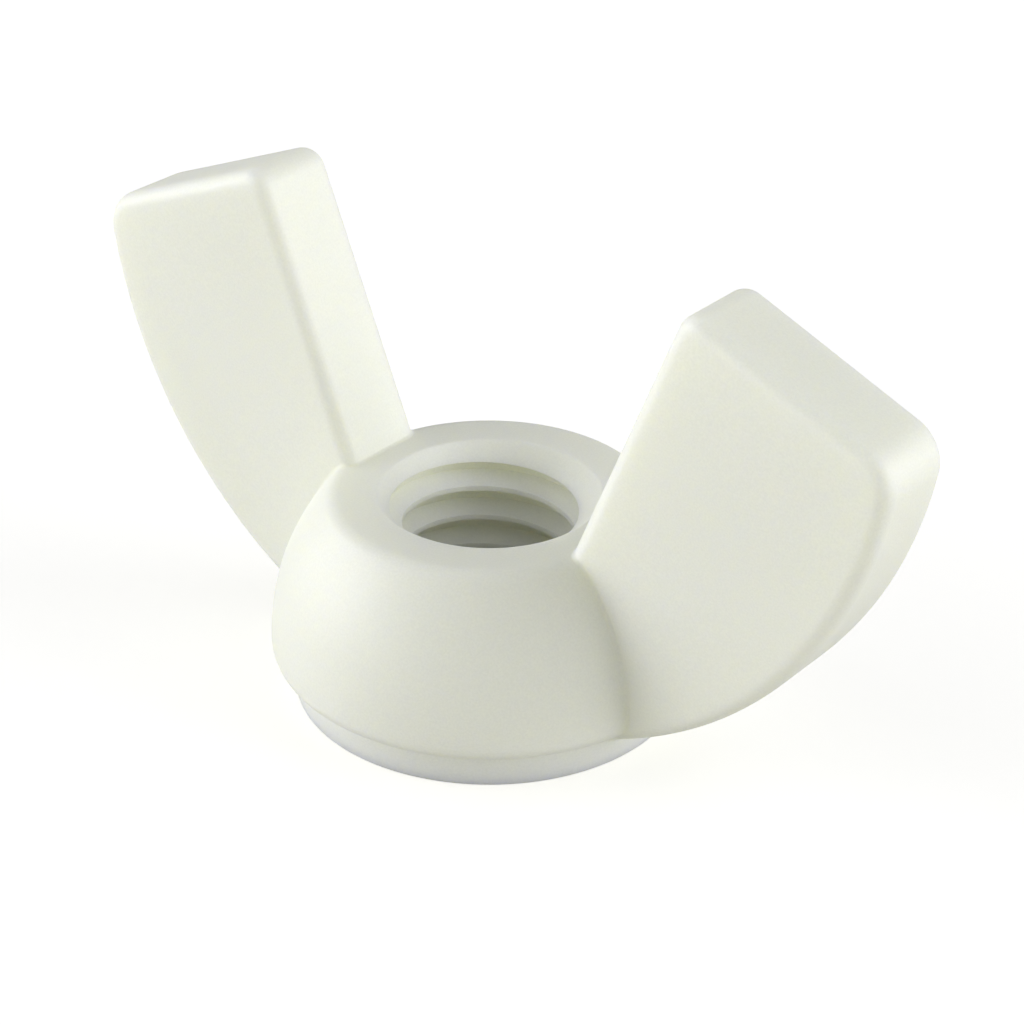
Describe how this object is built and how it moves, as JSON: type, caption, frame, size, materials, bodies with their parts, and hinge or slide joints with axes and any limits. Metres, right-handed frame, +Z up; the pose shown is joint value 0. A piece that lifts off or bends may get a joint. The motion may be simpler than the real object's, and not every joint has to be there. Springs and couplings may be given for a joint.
{
  "type": "wing nut",
  "caption": "One-piece nylon wing nut with a domed hub, a round foot, two upswept wings and a metric through thread, tightened by hand.",
  "frame": {"origin": "centre of the foot's bearing face, on the thread's axis", "axes": "+Z up along the thread's axis, from the bearing face towards the wings' tips; +X along the line of the two wings"},
  "size_m": [0.0226, 0.0104, 0.0119],
  "materials": {
    "nylon": "satin natural nylon"
  },
  "bodies": {
    "root": {"wing_nut": "nylon"}
  },
  "joints": []
}
